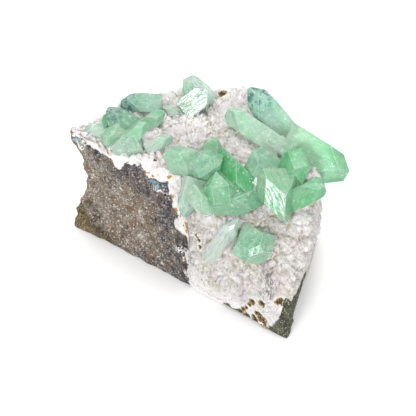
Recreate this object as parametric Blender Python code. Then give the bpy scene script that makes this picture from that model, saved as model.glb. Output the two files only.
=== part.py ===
"""Apophyllite on mordenite: a mineral specimen about 95 mm across, resting on its flat base.

A block of grey-brown basalt carries a white crust of mordenite over its top, its front slope
and part of its sides.  Blocky green apophyllite crystals grew on the crust.  Each crystal is a
square prism ending in a steep four-sided pyramid that is turned 45 degrees to the prism.

+Z is up, +X is the longest extent, and the bare basalt face looks towards -X and -Y.
"""
import math
from collections import namedtuple

import bmesh
import bpy
import numpy as np
from mathutils import Matrix, Vector

MM = 0.001

# ---- driving dimensions, in millimetres and degrees ----

CENTRE = np.array([0.0, 7.0, 18.0])    # the point that every surface of the block faces away from
SEAT = np.array([1.2, -5.8, 0.0])      # last shift, which centres the specimen on the origin
ARRIS_SHARPNESS = 26.0                 # higher gives crisper edges between the block's faces

# The broad faces of the block: bearing and rise of the outward normal, distance from CENTRE.
Face = namedtuple("Face", "bearing rise distance")
BLOCK_FACES = (
    Face(-125.5, 2.0, 20.0),           # the fresh break at front left, bare basalt
    Face(-100.0, 88.0, 26.6),          # the plateau that the crystals stand on
    Face(-85.5, 36.0, 31.2),           # the front slope below the plateau
    Face(-58.0, 0.0, 50.5),            # the blunt front corner
    Face(-17.0, -2.0, 37.8),           # right side, towards the front
    Face(-7.0, -1.0, 38.3),            # right side, towards the back
    Face(38.0, 6.0, 31.6),             # back right
    Face(97.0, 8.0, 35.0),             # back
    Face(132.0, 2.0, 39.5),            # back left
    Face(178.0, 0.0, 45.5),            # left end
)

# Places where the block swells or falls in: centre, reach and rise.
Swelling = namedtuple("Swelling", "x y z reach rise")
SWELLINGS = (
    Swelling(-49.0, 16.0, 2.0, 7.0, 6.5),     # foot ledge at the left end
    Swelling(-47.0, 15.0, 43.0, 6.0, 6.0),    # horn at the top of the left end
    Swelling(-43.0, 13.0, 24.0, 9.0, -2.0),   # hollow between them
    Swelling(25.0, -38.0, 2.0, 9.0, 3.0),     # nose at the front corner
    Swelling(8.0, 44.0, 12.0, 12.0, 2.5),     # ledge low on the back
    Swelling(-30.0, 38.0, 30.0, 9.0, -2.5),   # hollow on the back left
)

# The crust's lower edge, seen from CENTRE: bearing and rise.
CRUST_EDGE = (
    (-168, 49), (-157, 48), (-140, 55), (-134, 51), (-128, 42), (-124, 27), (-114, 22),
    (-109, 9), (-107, -10), (-105, -31), (-86, -31), (-74, -26), (-67, -23), (-64, -19),
    (-61, -9), (-58, -4), (-52, -10), (-44, -18), (-34, -24), (-22, -26), (-8, -24), (5, -21),
    (20, -11), (38, 10), (60, 26), (80, 22), (97, 27), (120, 31), (140, 24), (158, 27),
    (171, 28), (177, 32), (185, 37), (188, 42),
)

CRUST_THICKNESS = 3.2
CRUST_LIP = 1.3                        # thickness at the crust's edge
CREASE_DEPTH = 0.4                     # the creases between the crust's lumps lie this deep
EDGE_HEIGHT = 1.6                      # the crust's edge stays at least this far above the floor
LUMP_HEIGHT = 2.0
LUMP_SPACING = 13.0
LUMP_SEED = 4
LUMP_POWER = 0.8                       # under 1 rounds the lumps and sharpens their creases
LUMP_FADE = 6                          # higher keeps the lumps' height nearer to the edge
CRUST_TAPER = 5                        # higher keeps the full thickness nearer to the edge
BREAK_HEIGHT = 0.7                     # roughness of the broken basalt
BREAK_SPACING = 9.0
BREAK_SEEDS = (11, 12)                 # the broad breaks and the finer ones on them
BREAK_START = 0.25                     # part of the bare wall over which the breaks set in

GAP = 0.3                              # clearance between pieces that touch
SLANT = 1.5                            # more of it along a ray that meets a surface aslant

COLUMNS = 72                           # round the block
CRUST_RINGS = 13                       # from the middle of the top to the crust's edge
WALL_RINGS = 9                         # from the crust's edge to the floor
RING_CROWDING = 0.85                   # under 1 spreads the rings round the middle of the top

PYRAMID_ANGLE = 60.4                   # apophyllite's pyramid faces, from the basal plane

# Each crystal's foot, the way its axis points, its length from the foot to the flat tip, its
# prism's width and depth, the prism's spin, and how much of the pyramid the flat tip cuts off.
# Places are before the last shift, SEAT.
Crystal = namedtuple("Crystal", "x y z bearing rise length width depth spin blunt")
CRYSTAL_GROUPS = {
    "apophyllite_left": (
        Crystal(-28.5, 20.0, 44.0, 160, 40, 9.0, 8.5, 7.5, 20, 1.5),
        Crystal(-24.5, 18.0, 44.5, 22, 25, 11.5, 6.5, 5.0, 40, 1.0),
        Crystal(-29.5, 16.5, 44.5, -140, 15, 6.5, 8.5, 7.0, 35, 3.0),
        Crystal(-29.5, 9.0, 45.5, 21, 36, 12.0, 5.0, 4.5, 30, 1.0),
        Crystal(-25.5, 9.0, 43.5, -162, 62, 6.5, 8.0, 7.5, 10, 2.5),
        Crystal(-33.5, 18.5, 44.0, 124, 53, 5.5, 4.5, 4.0, 0, 1.0),
        Crystal(-36.5, 18.0, 44.0, -158, 8, 6.5, 7.0, 5.0, 30, 1.5),
    ),
    "apophyllite_small": (
        Crystal(-17.5, 9.5, 44.5, 14, 28, 5.0, 3.5, 3.0, 45, 0.4),
    ),
    "apophyllite_top": (
        Crystal(-4.5, 30.0, 44.0, 150, 58, 10.5, 11.5, 10.0, 30, 3.5),
        Crystal(-9.5, 28.0, 44.5, 124, 53, 9.0, 6.0, 6.0, 45, 1.0),
        Crystal(-12.0, 27.0, 44.5, 175, 20, 5.0, 3.5, 3.5, 45, 0.4),
        Crystal(-17.5, 29.0, 46.0, 181, 5, 13.0, 7.0, 6.5, 35, 1.2),
    ),
    "apophyllite_centre": (
        Crystal(-5.5, 0.0, 43.5, 172, 32, 12.5, 9.5, 8.5, 30, 1.8),
        Crystal(-2.0, -2.5, 42.5, -90, 56, 10.5, 11.5, 11.0, 5, 6.0),
        Crystal(5.5, 2.0, 44.5, -61, 2, 15.5, 9.5, 9.0, 30, 1.5),
        Crystal(1.5, -8.0, 42.0, -86, 30, 11.0, 12.0, 11.0, 45, 7.0),
        Crystal(-5.5, -8.5, 43.0, -112, -42, 10.0, 7.0, 5.5, 35, 1.5),
        Crystal(-0.5, 5.5, 44.0, 49, 66, 6.5, 8.0, 7.0, 20, 2.0),
        Crystal(5.0, -13.5, 39.0, -3, 12, 14.0, 9.0, 7.5, 35, 1.5),
        Crystal(-3.5, -11.5, 42.0, -50, -25, 8.0, 7.5, 5.5, 35, 1.5),
        Crystal(27.0, -2.5, 42.0, -77, 72, 10.0, 11.5, 10.5, 40, 5.0),
        Crystal(19.5, -4.5, 43.0, -74, -18, 16.0, 12.5, 12.0, 40, 1.5),
        Crystal(29.5, -11.0, 40.0, 8, 26, 9.5, 9.0, 7.5, 35, 3.0),
        Crystal(20.5, -2.5, 43.0, 123, 70, 10.5, 9.5, 8.5, 30, 2.0),
    ),
    "apophyllite_back_right": (
        Crystal(24.5, 17.5, 44.5, 149, 42, 19.5, 7.5, 6.5, 35, 1.0),
        Crystal(22.0, 9.0, 44.0, 160, 30, 21.5, 8.0, 7.5, 40, 1.0),
        Crystal(28.5, 13.0, 44.5, -31, -15, 20.5, 11.0, 9.5, 35, 2.5),
    ),
    "apophyllite_spear": (
        Crystal(-0.5, -20.5, 23.5, -12, 65, 19.5, 4.5, 4.0, 40, 0.6),
    ),
    "apophyllite_front": (
        Crystal(15.0, -19.0, 29.5, -94, 36, 11.5, 12.0, 11.0, 25, 5.5),
    ),
}
BELOW_FOOT = 3.0                       # how far a crystal's prism runs on into the crust
HABIT_SPREAD = 0.08                    # how far the crystal faces stray from a perfect habit


def clear_scene():
    """Remove what the scene starts with."""
    for old in list(bpy.data.objects):
        bpy.data.objects.remove(old, do_unlink=True)


def make_collection(name):
    """A new collection in the scene."""
    collection = bpy.data.collections.new(name)
    bpy.context.scene.collection.children.link(collection)
    return collection


def make_material(name, colour, roughness):
    """A plain Principled material."""
    material = bpy.data.materials.new(name)
    material.use_nodes = True
    shader = material.node_tree.nodes["Principled BSDF"]
    shader.inputs["Base Color"].default_value = (*colour, 1.0)
    shader.inputs["Roughness"].default_value = roughness
    return material


def direction(bearing, rise):
    """Unit vectors for bearings and rises in degrees."""
    bearing, rise = np.broadcast_arrays(np.radians(bearing), np.radians(rise))
    level = np.cos(rise)
    return np.stack((np.cos(bearing) * level, np.sin(bearing) * level, np.sin(rise)), -1)


def waves(points, spacing, seed, count=14):
    """A smooth random field with values of about -1 to 1: a sum of plane waves of like length."""
    random = np.random.default_rng(seed)
    heading = random.normal(size=(count, 3))
    heading /= np.linalg.norm(heading, axis=1)[:, None]
    frequency = 2.0 * math.pi / spacing * random.uniform(0.6, 1.5, count)
    phase = random.uniform(0.0, 2.0 * math.pi, count)
    swing = np.sin(points @ (heading * frequency[:, None]).T + phase)
    return swing.sum(-1) / math.sqrt(count)


def form_radius(rays):
    """Distance from CENTRE to the specimen's general form: the faces' planes, blended at the arrises."""
    normals = np.array([direction(face.bearing, face.rise) for face in BLOCK_FACES])
    distances = np.array([face.distance for face in BLOCK_FACES])
    nearness = np.clip(rays @ normals.T / distances, 0.002, None)
    radius = (nearness ** ARRIS_SHARPNESS).sum(-1) ** (-1.0 / ARRIS_SHARPNESS)
    points = CENTRE + rays * radius[..., None]
    for swelling in SWELLINGS:
        offset = points - np.array([swelling.x, swelling.y, swelling.z])
        radius = radius + swelling.rise * np.exp(-(offset ** 2).sum(-1) / swelling.reach ** 2)
    return radius


def floor_rise(bearing):
    """Rise of the rays from CENTRE that meet the form's edge on the floor."""
    rise = np.full(bearing.shape, -20.0)
    for _ in range(12):
        radius = form_radius(direction(bearing, rise))
        rise = -np.degrees(np.arcsin(np.clip(CENTRE[2] / radius, -1.0, 0.98)))
    return rise


def edge_rise(bearing):
    """Rise of the crust's lower edge, kept clear of the floor."""
    edge = sorted(CRUST_EDGE)
    known = [pair[0] for pair in edge]
    rises = [pair[1] for pair in edge]
    rise = np.interp(bearing, known, rises, period=360)
    radius = form_radius(direction(bearing, rise))
    lowest = -np.degrees(np.arcsin(np.clip((CENTRE[2] - EDGE_HEIGHT) / radius, -1.0, 0.98)))
    return np.maximum(rise, lowest)


def lumps(points):
    """Rounded swellings of the crust with creases between them, 0 to about 1."""
    return np.abs(waves(points, LUMP_SPACING, LUMP_SEED)) ** LUMP_POWER


def crust_top(rays, station):
    """Radius of the crust's outer surface; station runs from 0 mid-top to 1 at the crust's edge."""
    radius = form_radius(rays)
    points = CENTRE + rays * radius[..., None]
    fade = np.clip(1.0 - station ** LUMP_FADE, 0.0, 1.0)
    return radius - CREASE_DEPTH + LUMP_HEIGHT * fade * lumps(points)


def basalt_top(rays, station):
    """Radius of the basalt; beyond station 1 it is the bare, broken rock."""
    radius = form_radius(rays)
    points = CENTRE + rays * radius[..., None]
    covered = np.sqrt(np.clip(1.0 - station ** CRUST_TAPER, 0.0, 1.0))
    bare = np.clip((station - 1.0) / BREAK_START, 0.0, 1.0)
    depth = CRUST_LIP + (CRUST_THICKNESS - CRUST_LIP) * covered - (CRUST_LIP - CREASE_DEPTH) * bare
    broad = waves(points, BREAK_SPACING, BREAK_SEEDS[0])
    fine = waves(points, BREAK_SPACING / 2.4, BREAK_SEEDS[1])
    return radius - depth + BREAK_HEIGHT * bare * (broad + 0.6 * fine)


def sphere_rows(bm, rings):
    """Each vertex of a UV sphere with its bearing in degrees and its ring number from the top."""
    for vertex in bm.verts:
        polar = math.acos(max(-1.0, min(1.0, vertex.co.z)))
        ring = round(polar / math.pi * rings)
        bearing = math.degrees(math.atan2(vertex.co.y, vertex.co.x))
        yield vertex, bearing, ring


def split_quads(bm, rows, level):
    """Split each quad from its earlier upper to its later lower corner.

    Basalt and crust are split alike, so the two skins stay parallel.  level(ring) is the ring's
    number counted down from the middle of the top.
    """
    spot = {vertex: (bearing, level(ring)) for vertex, bearing, ring in rows}
    for face in [face for face in bm.faces if len(face.verts) == 4]:
        corners = sorted(face.verts, key=lambda vertex: spot[vertex][1])
        upper = corners[:2]
        lower = corners[2:]
        if spot[upper[1]][1] == spot[lower[0]][1]:
            continue
        upper.sort(key=lambda vertex: (spot[vertex][0] - spot[corners[0]][0] + 180.0) % 360.0)
        lower.sort(key=lambda vertex: (spot[vertex][0] - spot[corners[0]][0] + 180.0) % 360.0)
        bmesh.utils.face_split(face, upper[0], lower[1])


def reshaped_sphere(name, rings, place, level, material, collection):
    """A UV sphere whose vertices are moved to place(bearings, rings), in millimetres."""
    bm = bmesh.new()
    bmesh.ops.create_uvsphere(bm, u_segments=COLUMNS, v_segments=rings, radius=1.0)
    rows = list(sphere_rows(bm, rings))
    bearings = np.array([row[1] for row in rows])
    numbers = np.array([row[2] for row in rows])
    points = (place(bearings, numbers) + SEAT) * MM
    for row, point in zip(rows, points):
        row[0].co = point
    split_quads(bm, rows, level)
    bmesh.ops.triangulate(bm, faces=bm.faces)
    return add_object(name, bm, material, collection)


def add_object(name, bm, material, collection):
    """An object in the collection that holds the finished mesh, with its faces outward."""
    bmesh.ops.recalc_face_normals(bm, faces=bm.faces)
    mesh = bpy.data.meshes.new(name)
    bm.to_mesh(mesh)
    bm.free()
    mesh.materials.append(material)
    piece = bpy.data.objects.new(name, mesh)
    collection.objects.link(piece)
    return piece


def top_rays(bearing, station):
    """Rays under the crust: the rise falls from straight up to the crust's edge."""
    rise = 90.0 - (90.0 - edge_rise(bearing)) * station ** RING_CROWDING
    return direction(bearing, rise)


def basalt_points(bearing, ring):
    """Rings 0 to CRUST_RINGS lie under the crust, the next ones go down the bare wall."""
    station = np.minimum(ring / CRUST_RINGS, 1.0)
    down = np.clip((ring - CRUST_RINGS) / WALL_RINGS, 0.0, 1.0)
    edge = edge_rise(bearing)
    floor = floor_rise(bearing)
    wall = direction(bearing, edge + (floor - edge) * down)
    rays = np.where((ring > CRUST_RINGS)[:, None], wall, top_rays(bearing, station))
    radius = basalt_top(rays, station + down)
    points = CENTRE + rays * radius[:, None]
    on_floor = ring >= CRUST_RINGS + WALL_RINGS
    points[on_floor, 2] = 0.0
    points[ring > CRUST_RINGS + WALL_RINGS] = (CENTRE[0], CENTRE[1], 0.0)
    points[:, 2] = np.maximum(points[:, 2], 0.0)
    return points


def plain_level(ring):
    """The rings of basalt and cover are numbered from the middle of the top down."""
    return ring


def crust_level(ring):
    """The crust's rings run down its outer skin and back up the inner one."""
    return min(ring, 2 * CRUST_RINGS + 1 - ring)


def crust_points(bearing, ring):
    """The outer skin runs down to the crust's edge, and the inner skin back up over the basalt."""
    inner = ring > CRUST_RINGS
    station = np.minimum(ring, 2 * CRUST_RINGS + 1 - ring) / CRUST_RINGS
    rays = top_rays(bearing, station)
    radius = np.where(inner, basalt_top(rays, station) + GAP * SLANT, crust_top(rays, station))
    return CENTRE + rays * radius[:, None]


def cover_points(bearing, ring):
    """The crust's outer skin and the bare wall raised by the gap, which trim the crystals' feet."""
    points = basalt_points(bearing, ring)
    rays = points - CENTRE
    reach = np.linalg.norm(rays, axis=1)[:, None]
    rays /= reach
    station = np.minimum(ring / CRUST_RINGS, 1.0)
    skin = np.where(ring <= CRUST_RINGS, crust_top(rays, station), reach[:, 0])
    return CENTRE + rays * (skin + GAP * SLANT)[:, None]


def crystal_planes(crystal, number):
    """A point and the outward normal of each face, about the foot with the axis along Z.

    Each prism and pyramid face strays from the perfect habit by its own fixed amount.
    """
    planes = []
    for side in range(4):
        stray = 1.0 + HABIT_SPREAD * math.sin(5.3 * side + 2.7 * number)
        half = (crystal.width, crystal.depth)[side % 2] / 2.0 * stray
        angle = math.radians(90.0 * side)
        normal = Vector((math.cos(angle), math.sin(angle), 0.0))
        planes.append((normal * half, normal))
    lean = math.radians(PYRAMID_ANGLE)
    for side in range(4):
        stray = 1.0 + HABIT_SPREAD * math.sin(3.1 * side + 4.9 * number)
        angle = math.radians(90.0 * side + 45.0)
        normal = Vector((math.cos(angle) * math.sin(lean), math.sin(angle) * math.sin(lean), math.cos(lean)))
        planes.append((Vector((0.0, 0.0, (crystal.length + crystal.blunt) * stray)), normal))
    planes.append((Vector((0.0, 0.0, crystal.length)), Vector((0.0, 0.0, 1.0))))
    planes.append((Vector((0.0, 0.0, -BELOW_FOOT)), Vector((0.0, 0.0, -1.0))))
    return planes


def build_crystal(crystal, number, material, collection):
    """A block cut down by the crystal's planes, then turned along its axis and set on its foot."""
    axis = Vector(direction(crystal.bearing, crystal.rise))
    sideways = axis.cross(Vector((0.0, 0.0, 1.0))).normalized()
    upright = sideways.cross(axis).normalized()
    turn = Matrix((sideways, upright, axis)).transposed()
    foot = Vector((crystal.x, crystal.y, crystal.z)) + Vector(SEAT)
    spin = Matrix.Rotation(math.radians(crystal.spin), 3, "Z")
    block_size = 4.0 * (crystal.length + crystal.width)

    bm = bmesh.new()
    bmesh.ops.create_cube(bm, size=block_size)
    for point, normal in crystal_planes(crystal, number):
        everything = bm.verts[:] + bm.edges[:] + bm.faces[:]
        cut = bmesh.ops.bisect_plane(bm, geom=everything, dist=1e-6, plane_co=spin @ point,
                                     plane_no=spin @ normal, clear_outer=True)
        rim = [item for item in cut["geom_cut"] if isinstance(item, bmesh.types.BMEdge)]
        if rim:
            bmesh.ops.edgeloop_fill(bm, edges=rim)
    for vertex in bm.verts:
        vertex.co = (foot + turn @ vertex.co) * MM
    return add_object(f"crystal_{number:02d}", bm, material, collection)


def boolean(piece, other, operation):
    """Join the other object to the piece, or cut it away."""
    modifier = piece.modifiers.new(operation.lower(), "BOOLEAN")
    modifier.operation = operation
    modifier.solver = "EXACT"
    modifier.object = other


def settled_mesh(piece):
    """The piece's mesh with its modifiers carried out."""
    bpy.context.view_layer.update()
    settled = piece.evaluated_get(bpy.context.evaluated_depsgraph_get())
    return bpy.data.meshes.new_from_object(settled)


def hide_cutter(cutter):
    """Keep a helper out of renders."""
    cutter.hide_render = True
    cutter.display_type = "WIRE"


def build_group(name, crystals, first, cover, material, collection, cutters):
    """Crystals that grew into one another, joined and trimmed where they meet the crust."""
    pieces = []
    for number, crystal in enumerate(crystals, first):
        pieces.append(build_crystal(crystal, number, material, cutters))
    group = pieces[0]
    group.name = name
    for other in pieces[1:]:
        boolean(group, other, "UNION")
        hide_cutter(other)
    boolean(group, cover, "DIFFERENCE")
    mesh = settled_mesh(group)
    group.modifiers.clear()
    group.data = mesh
    mesh.name = name
    cutters.objects.unlink(group)
    collection.objects.link(group)
    return group


def main():
    """Build the basalt, the crust on it and the crystals on the crust."""
    clear_scene()
    specimen = make_collection("apophyllite_on_mordenite")
    cutters = make_collection("cutters")

    basalt = make_material("basalt", (0.16, 0.13, 0.11), 0.9)
    mordenite = make_material("mordenite", (0.78, 0.74, 0.72), 0.95)
    apophyllite = make_material("apophyllite", (0.30, 0.62, 0.42), 0.12)

    rock_rings = CRUST_RINGS + WALL_RINGS + 1
    crust_rings = 2 * CRUST_RINGS + 1
    reshaped_sphere("basalt_matrix", rock_rings, basalt_points, plain_level, basalt, specimen)
    reshaped_sphere("mordenite_crust", crust_rings, crust_points, crust_level, mordenite, specimen)
    cover = reshaped_sphere("cover", rock_rings, cover_points, plain_level, mordenite, cutters)
    hide_cutter(cover)

    first = 1
    for name, crystals in CRYSTAL_GROUPS.items():
        build_group(name, crystals, first, cover, apophyllite, specimen, cutters)
        first += len(crystals)


main()
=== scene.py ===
"""Apophyllite crystals on a mordenite crust over a block of basalt, finished for rendering."""

import math
from collections import namedtuple
from itertools import combinations

import bmesh
import bpy
import numpy as np
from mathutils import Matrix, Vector


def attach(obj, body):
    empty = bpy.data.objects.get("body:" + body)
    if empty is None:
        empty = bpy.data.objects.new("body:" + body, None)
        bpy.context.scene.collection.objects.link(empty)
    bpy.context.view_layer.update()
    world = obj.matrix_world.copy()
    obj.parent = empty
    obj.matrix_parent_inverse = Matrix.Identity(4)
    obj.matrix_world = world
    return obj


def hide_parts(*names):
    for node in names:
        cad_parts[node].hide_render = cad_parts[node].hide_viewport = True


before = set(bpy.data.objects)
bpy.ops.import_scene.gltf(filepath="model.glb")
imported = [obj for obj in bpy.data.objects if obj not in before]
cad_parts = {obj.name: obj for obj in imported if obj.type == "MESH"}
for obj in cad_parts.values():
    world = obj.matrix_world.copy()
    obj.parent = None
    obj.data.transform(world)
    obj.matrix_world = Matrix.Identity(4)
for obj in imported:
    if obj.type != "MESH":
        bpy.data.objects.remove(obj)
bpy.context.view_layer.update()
scene = bpy.context.scene


# ---------------------------------------
# Basalt matrix.  The piece of lava that everything grew on: dense, fine-grained grey-brown rock,
# broken by hammer along the front left and back, and left flat underneath.
# ---------------------------------------

MM = 0.001
FAR = 9.0  # stands for out of reach, in radii or in mm
CENTRE = np.array([0.0, 7.0, 18.0])  # every surface of the block faces away from this point
SEAT = np.array([1.2, -5.8, 0.0])  # shift that centres the specimen on the origin

# bearing and rise of each broad face's outward normal, and its distance from the centre
BLOCK_FACES = np.array([
    (-125.5, 2.0, 20.0), (-100.0, 88.0, 26.6), (-85.5, 36.0, 31.2), (-58.0, 0.0, 50.5),
    (-17.0, -2.0, 37.8), (-7.0, -1.0, 38.3), (38.0, 6.0, 31.6), (97.0, 8.0, 35.0),
    (132.0, 2.0, 39.5), (178.0, 0.0, 45.5),
])
# x, y, z, reach and rise of each place where the block swells or falls in
BLOCK_SWELLINGS = (
    (-49.0, 16.0, 2.0, 7.0, 6.5), (-47.0, 15.0, 43.0, 6.0, 6.0), (-43.0, 13.0, 24.0, 9.0, -2.0),
    (25.0, -38.0, 2.0, 9.0, 3.0), (8.0, 44.0, 12.0, 12.0, 2.5), (-30.0, 38.0, 30.0, 9.0, -2.5),
)
ARRIS_SHARPNESS = 26.0
# bearing and rise of the crust's lower edge, where the bare rock begins
CRUST_EDGE = np.array([
    (-168, 49), (-157, 48), (-140, 55), (-134, 52), (-127, 46), (-120, 38), (-117, 28),
    (-112, 19), (-110, 8), (-108.5, -12), (-107, -34), (-90, -33), (-82, -30.5), (-74, -27),
    (-70, -25.5), (-66, -23), (-64, -21), (-62.8, -17), (-61.5, -11), (-60.3, -7.5), (-59, -5.2),
    (-55, -5.2), (-51.5, -5), (-41.5, -8), (-33, -14), (-24, -22), (-8, -28), (5, -24),
    (20, -11), (38, 10), (60, 26), (80, 22), (97, 27), (120, 31), (140, 24), (158, 27),
    (171, 31), (177, 35.5), (185, 41.5), (188, 45),
])
EDGE_HEIGHT = 0.4  # the crust's edge stays this far above the floor
EDGE_TREMBLE = 0.9  # how far the edge strays up and down, in degrees
STEEPEST = 0.98  # sine of the steepest rise that is worked out
COLUMNS = 560  # points in each ring round the block
COVERED_ROWS = 14  # rings of rock under the crust
WALL_ROWS = 118  # from the crust's edge down to the floor
WALL_START = -0.02  # where the wall's rings begin, as a part of the way down from the edge


def direction(bearing, rise):
    """Unit vectors: (cos bearing cos rise, sin bearing cos rise, sin rise)."""
    bearing, rise = np.broadcast_arrays(np.radians(bearing), np.radians(rise))
    level = np.cos(rise)
    return np.stack((np.cos(bearing) * level, np.sin(bearing) * level, np.sin(rise)), -1)


def unit(value):
    """The value held between 0 and 1."""
    return np.clip(value, 0.0, 1.0)


def near(points, x, y, z, reach):
    """A bell round the place x, y, z: e to the power minus (distance over reach) squared."""
    offset = points - np.array([x, y, z])
    return np.exp(-(offset ** 2).sum(-1) / reach ** 2)


def waves(points, spacing, seed, count=14):
    """A smooth random field: the sum of plane waves with random headings, over root count."""
    random = np.random.default_rng(seed)
    heading = random.normal(size=(count, 3))
    heading /= np.linalg.norm(heading, axis=1)[:, None]
    frequency = 2.0 * math.pi / spacing * random.uniform(0.6, 1.5, count)
    phase = random.uniform(0.0, 2.0 * math.pi, count)
    return np.sin(points @ (heading * frequency[:, None]).T + phase).sum(-1) / math.sqrt(count)


def scramble(cell, seed):
    """A number from 0 to 1 for each whole-number cell: the broken part of a large sine."""
    mixed = cell @ np.array([127.1, 311.7, 74.7]) + seed * 19.19
    return np.mod(np.sin(mixed) * 43758.5453, 1.0)


def pebbles(points, size, seed):
    """Rounded grains: 1 at the middle of each cell of a scattered lattice, 0 at its border.

    Each cell of side size holds one scattered middle.  The height is one minus the square of
    the distance to the nearest middle over the distance to the next.
    """
    place = points / size
    home = np.floor(place)
    nearest = np.full(place.shape[:-1], FAR)
    second = np.full(place.shape[:-1], FAR)
    for step in np.ndindex(3, 3, 3):
        cell = home + np.array(step) - 1.0
        middle = cell + np.stack([scramble(cell, seed + axis) for axis in range(3)], -1)
        distance = np.linalg.norm(place - middle, axis=-1)
        second = np.where(distance < nearest, nearest, np.minimum(second, distance))
        nearest = np.minimum(nearest, distance)
    return 1.0 - (nearest / second) ** 2


def form_radius(rays):
    """Distance to the block's surface: a soft minimum of the faces' planes, plus the swellings."""
    normals = direction(BLOCK_FACES[:, 0], BLOCK_FACES[:, 1])
    nearness = np.clip(rays @ normals.T / BLOCK_FACES[:, 2], 0.002, None)
    radius = (nearness ** ARRIS_SHARPNESS).sum(-1) ** (-1.0 / ARRIS_SHARPNESS)
    points = CENTRE + rays * radius[..., None]
    for x, y, z, reach, rise in BLOCK_SWELLINGS:
        radius = radius + rise * near(points, x, y, z, reach)
    return radius


def rise_below(drop, radius):
    """Rise of a ray of the given radius that ends drop below the centre: minus the arcsine."""
    return -np.degrees(np.arcsin(np.clip(drop / radius, -1.0, STEEPEST)))


def floor_rise(bearing):
    """Rise of the rays that meet the block's edge on the floor, found by repeated correction."""
    rise = np.full(bearing.shape, -20.0)
    for _ in range(14):
        rise = rise_below(CENTRE[2], form_radius(direction(bearing, rise)))
    return rise


def edge_rise(bearing):
    """Rise of the crust's ragged lower edge: straight runs between its corners, plus a tremble."""
    order = np.argsort(CRUST_EDGE[:, 0])
    rise = np.interp(bearing, CRUST_EDGE[order, 0], CRUST_EDGE[order, 1], period=360)
    ring = direction(bearing, 0.0) * 40.0
    rise = rise + EDGE_TREMBLE * (waves(ring, 7.0, 21) + waves(ring, 2.6, 22))
    lowest = rise_below(CENTRE[2] - EDGE_HEIGHT, form_radius(direction(bearing, rise)))
    return np.maximum(rise, lowest)


def even_bearings(count):
    """Bearings that part the block's outline at mid height into steps of equal length."""
    eighths = np.linspace(-180.0, 180.0, 8 * 360 + 1)
    rays = direction(eighths, 0.0)
    outline = rays * form_radius(rays)[:, None]
    steps = np.linalg.norm(np.diff(outline, axis=0), axis=1)
    along = np.concatenate(([0.0], np.cumsum(steps)))
    return np.interp(np.linspace(0.0, along[-1], count, endpoint=False), along, eighths)


def outward(skin):
    """Unit normals of a grid of points: the cross product of its tangents, away from CENTRE."""
    normal = np.cross(np.gradient(skin, axis=0),
                      np.roll(skin, -1, axis=1) - np.roll(skin, 1, axis=1))
    normal = normal / np.maximum(np.linalg.norm(normal, axis=-1), 1e-9)[..., None]
    return normal * np.sign(((skin - CENTRE) * normal).sum(-1))[..., None]


def new_object(name, data):
    """An object in the scene that holds the data."""
    made = bpy.data.objects.new(name, data)
    scene.collection.objects.link(made)
    return made


def ring_mesh(name, first, rings, last):
    """A closed skin: first and last are its end points, rings[r, c] its grid of points in mm.

    The quads join each ring to the next one, and two fans of triangles close the ends.
    """
    count = rings.shape[1]
    points = np.concatenate(([first], rings.reshape(-1, 3), [last]))
    grid = 1 + np.arange(rings.shape[0] * count).reshape(-1, count)
    after = np.roll(grid, -1, axis=1)
    quads = np.stack((grid[:-1], grid[1:], after[1:], after[:-1]), -1).reshape(-1, 4)
    top = np.stack((np.zeros(count, int), grid[0], after[0]), -1)
    bottom = np.stack((np.full(count, len(points) - 1), after[-1], grid[-1]), -1)
    mesh = bpy.data.meshes.new(name)
    mesh.from_pydata(((points + SEAT) * MM).tolist(), [],
                     quads.tolist() + top.tolist() + bottom.tolist())
    mesh.shade_smooth()
    return new_object(name, mesh)


def paint(piece, name, first, values, last):
    """Store one number a point on the piece, for its material to read."""
    layer = piece.data.attributes.new(name, "FLOAT", "POINT")
    layer.data.foreach_set("value", np.concatenate(([first], values.ravel(), [last])))


# The fresh break at front left, measured by distance along it from its middle, and height.
BREAK_BEARING = -125.5
BREAK_AHEAD = 12.0  # the break lies further ahead of CENTRE than this
BREAK_END = 20.0  # and ends this far along it to the right
# outline of the bare rock on the break; outside it the white crust laps over
BREAK_OUTLINE = np.array([
    (-60.0, 44.0), (-44.4, 44.6), (-41.9, 45.1), (-38.7, 44.8), (-37.2, 43.7), (-34.9, 42.0),
    (-32.2, 41.0), (-29.8, 41.3), (-27.0, 41.2), (-25.2, 40.3), (-23.0, 38.8), (-21.6, 39.8),
    (-20.6, 42.3), (-17.3, 43.7), (-14.6, 43.9), (-13.1, 43.4), (-12.2, 42.4), (-11.8, 40.9),
    (-9.3, 41.3), (-6.6, 41.6), (-4.0, 42.6), (-2.7, 42.4), (-2.2, 41.3), (-3.1, 39.4),
    (-1.8, 37.6), (-0.8, 34.1), (0.9, 32.1), (1.2, 30.8), (-0.6, 27.3), (0.1, 25.2), (2.3, 26.0),
    (3.2, 24.5), (4.6, 23.7), (6.0, 21.0), (5.8, 18.3), (3.8, 15.1), (3.3, 11.7), (6.1, 12.8),
    (5.2, 9.1), (4.8, 6.2), (5.7, 3.1), (7.2, -4.0), (-60.0, -4.0),
])
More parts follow.
